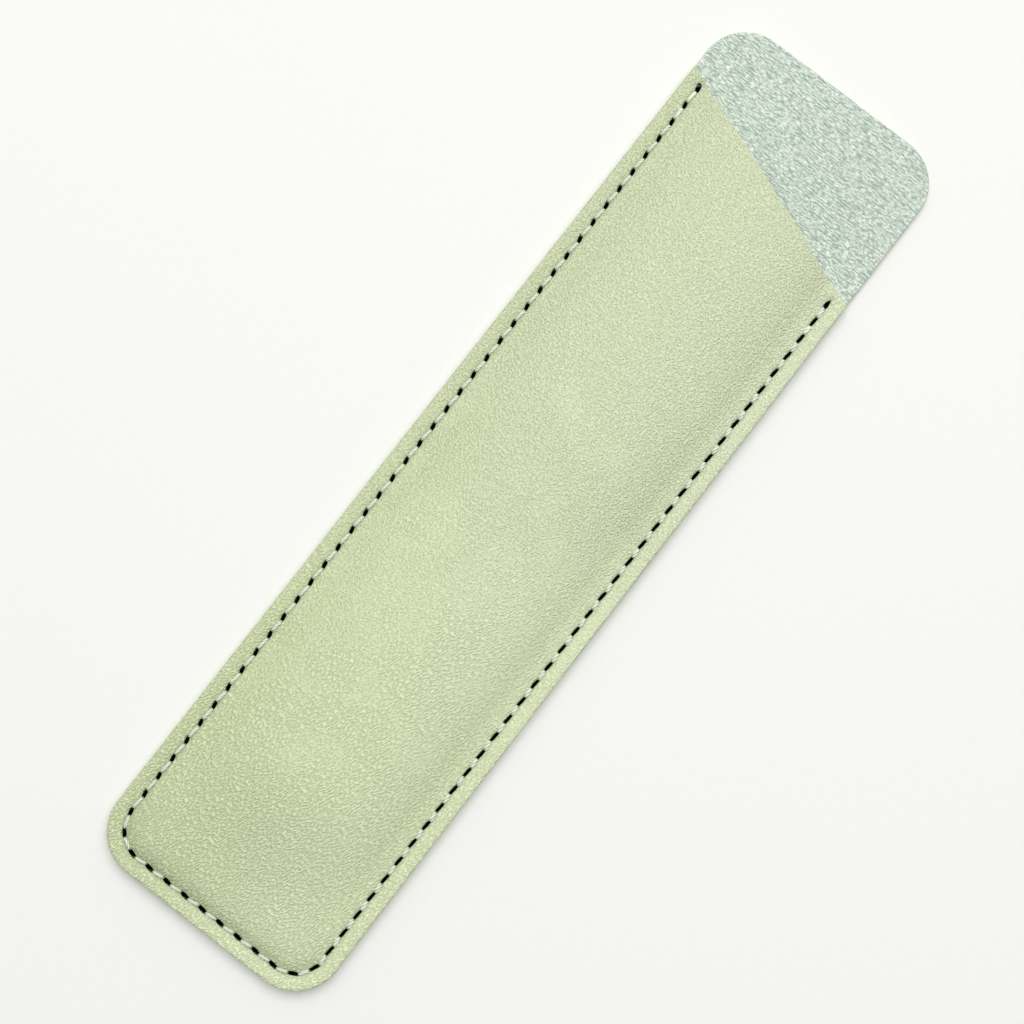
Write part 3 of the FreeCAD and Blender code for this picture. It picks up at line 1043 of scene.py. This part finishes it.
def make_front_panel(materials):
    plan = front_plan(0)
    places = plan[0]
    thick = steepness(places)
    ceiling = SEAM_CEILING + pocket_height(places)
    settled = settling(places)
    depth = np.minimum(side_depth(places), mouth_depth(places))
    worn = stitch_pull(places) + edge_drop(depth)
    top = ceiling + (FRONT_LEATHER_OFFSET + LEATHER) * thick + settled - worn
    bottom = ceiling + FRONT_LEATHER_OFFSET * thick + settled
    made = ply("front_panel_leather", plan, top, bottom, materials)
    # painted shade by the stitches and inside the bottom seam, on the points of the upper face
    darkness = np.zeros(len(made.data.vertices))
    darkness[: len(places)] = painted_seam_shade(places)
    add_layer(made, "painted_seam_shade", darkness)
    return made


def make_front_lining(materials):
    plan = front_plan(INNER_HOLE_MARGIN)
    places = plan[0]
    bottom = SEAM_CEILING + pocket_height(places) + settling(places)
    return ply("front_lining_suede", plan, bottom + LINING * steepness(places), bottom, materials)


def make_back_panel(materials):
    plan = back_plan(0, FIELD_STEP)
    places = plan[0]
    depth = np.minimum(side_depth(places), top_depth(places))
    bottom = stitch_pull(places) + edge_drop(depth)
    return ply("back_panel_leather", plan, np.full(len(places), LEATHER), bottom, materials)


def make_back_lining(materials):
    plan = back_plan(INNER_HOLE_MARGIN, NAP_STEP)
    places = plan[0]
    depth = np.minimum(side_depth(places), top_depth(places))
    on_tongue = mouth_depth(places) < 0
    top = POCKET_FLOOR - edge_drop(depth) * TONGUE_EDGE_WEAR * on_tongue
    return ply("back_lining_suede", plan, top, np.full(len(places), LINING_FLOOR), materials)


def make_seam_cement(materials):
    """The thin U of cement under the seam, from near the outline in to the pocket."""
    outer = u_ring(CEMENT_SETBACK, 2 * SEAM_STEP, CEMENT_SETBACK)
    inner = u_ring(POCKET_INSET, 2 * SEAM_STEP, CEMENT_SETBACK)
    plan = plan_of(outer + inner[::-1], [], INNER_HOLE_MARGIN)
    level = np.ones(len(plan[0]))
    return ply("seam_cement_layer", plan, SEAM_CEILING * level, POCKET_FLOOR * level, materials)


def make_needle_thread(material):
    """The thread on the front, and the tack stitches that cross it at the seam's two ends."""
    face_z = SEAM_TOP - THREAD / 2 + NEEDLE_PROUD
    levels = (face_z, SEAM_MIDDLE, SEAM_MIDDLE - THREAD / 2)
    lines = [thread_line(HOLES, *levels, 1)]
    for tacked in (HOLES[: TACKED_STITCHES + 1], HOLES[-TACKED_STITCHES - 1 :]):
        lines.append(thread_line(tacked, *levels, -1, TACK_SHIFT))
    return twisted_thread("needle_thread_twist", lines, [material], face_z)


def make_bobbin_thread(material):
    """The thread on the back, sunk so that the back lies flat."""
    face_z = THREAD / 2 * max(STITCH_FULLNESS) + BOBBIN_SUNK
    levels = (face_z, SEAM_MIDDLE, SEAM_MIDDLE + THREAD / 2)
    return twisted_thread("bobbin_thread_twist", [thread_line(HOLES, *levels, -1)], [material], face_z)


def place_piece(made, node):
    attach(made, "root")
    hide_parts(node)


def make_sleeve():
    """All the pieces, each in the place of its CAD node."""
    leather = leather_material()
    suede = suede_material()
    leather_edge = cut_edge_material("leather_cut_edge", LEATHER_EDGE_SHADES)
    suede_edge = cut_edge_material("suede_cut_edge", SUEDE_EDGE_SHADES)
    hole_wall = hole_material()
    cement = cement_material()
    thread = thread_material()
    front_panel = make_front_panel([leather, suede_edge, leather_edge, hole_wall])
    front_lining = make_front_lining([suede, suede, suede_edge, hole_wall])
    back_panel = make_back_panel([suede_edge, leather, leather_edge, hole_wall])
    back_lining = make_back_lining([suede, suede_edge, suede_edge, hole_wall])
    place_piece(front_panel, "front_panel")
    place_piece(front_lining, "front_lining")
    place_piece(back_panel, "back_panel")
    place_piece(back_lining, "back_lining")
    place_piece(make_seam_cement([cement, cement, cement, hole_wall]), "seam_cement")
    place_piece(make_needle_thread(thread), "needle_thread")
    place_piece(make_bobbin_thread(thread), "bobbin_thread")


# Surroundings

def make_floor():
    bpy.ops.mesh.primitive_plane_add(size=FLOOR_SIZE)
    floor = bpy.context.object
    floor.name = "pale_floor"
    floor.data.materials.append(floor_material())


def make_camera():
    """The camera; gives the picture's right and up."""
    place = Vector(CAMERA_PLACE) * MM
    ahead = (Vector(CAMERA_AIM) * MM - place).normalized()
    right = ahead.cross(Vector((math.cos(PAGE_UP), math.sin(PAGE_UP), 0))).normalized()
    up = right.cross(ahead)
    data = bpy.data.cameras.new("camera")
    data.lens = LENS
    data.sensor_width = SENSOR
    camera = bpy.data.objects.new("camera", data)
    camera.matrix_world = Matrix.Translation(place) @ Matrix((right, up, -ahead)).transposed().to_4x4()
    bpy.context.scene.collection.objects.link(camera)
    bpy.context.scene.camera = camera
    return right, up


def make_room(level_up):
    """A white room, brighter towards the top of the picture."""
    world = bpy.data.worlds.new("studio")
    world.use_nodes = True
    tree = world.node_tree
    background = tree.nodes["Background"]
    direction = add(tree, "TexCoord").outputs["Generated"]
    upward = add(tree, "VectorMath", {0: direction, 1: level_up}, operation="DOT_PRODUCT").outputs["Value"]
    strength = add(tree, "MapRange", {0: upward, 1: -1, 2: 1, 3: ROOM_BELOW, 4: ROOM_ABOVE}).outputs[0]
    tree.links.new(strength, background.inputs["Strength"])
    background.inputs["Color"].default_value = (1, 1, 1, 1)
    bpy.context.scene.world = world


def make_lamp(right, level_up):
    """One broad soft lamp, above the sleeve and towards the top of the picture."""
    data = bpy.data.lights.new("soft_lamp", "AREA")
    data.size = LAMP_SIZE
    data.energy = LAMP_POWER
    lamp = bpy.data.objects.new("soft_lamp", data)
    away = (LAMP_LEAN * level_up + LAMP_ASIDE * right + Vector((0, 0, 1))).normalized()
    lamp.location = away * LAMP_DISTANCE
    lamp.rotation_euler = (-away).to_track_quat("-Z", "Y").to_euler()
    bpy.context.scene.collection.objects.link(lamp)


def make_surroundings():
    make_floor()
    right, up = make_camera()
    level_up = Vector((up.x, up.y, 0)).normalized()
    make_room(level_up)
    make_lamp(right, level_up)
    bpy.context.scene.view_settings.view_transform = "Standard"


make_sleeve()
make_surroundings()
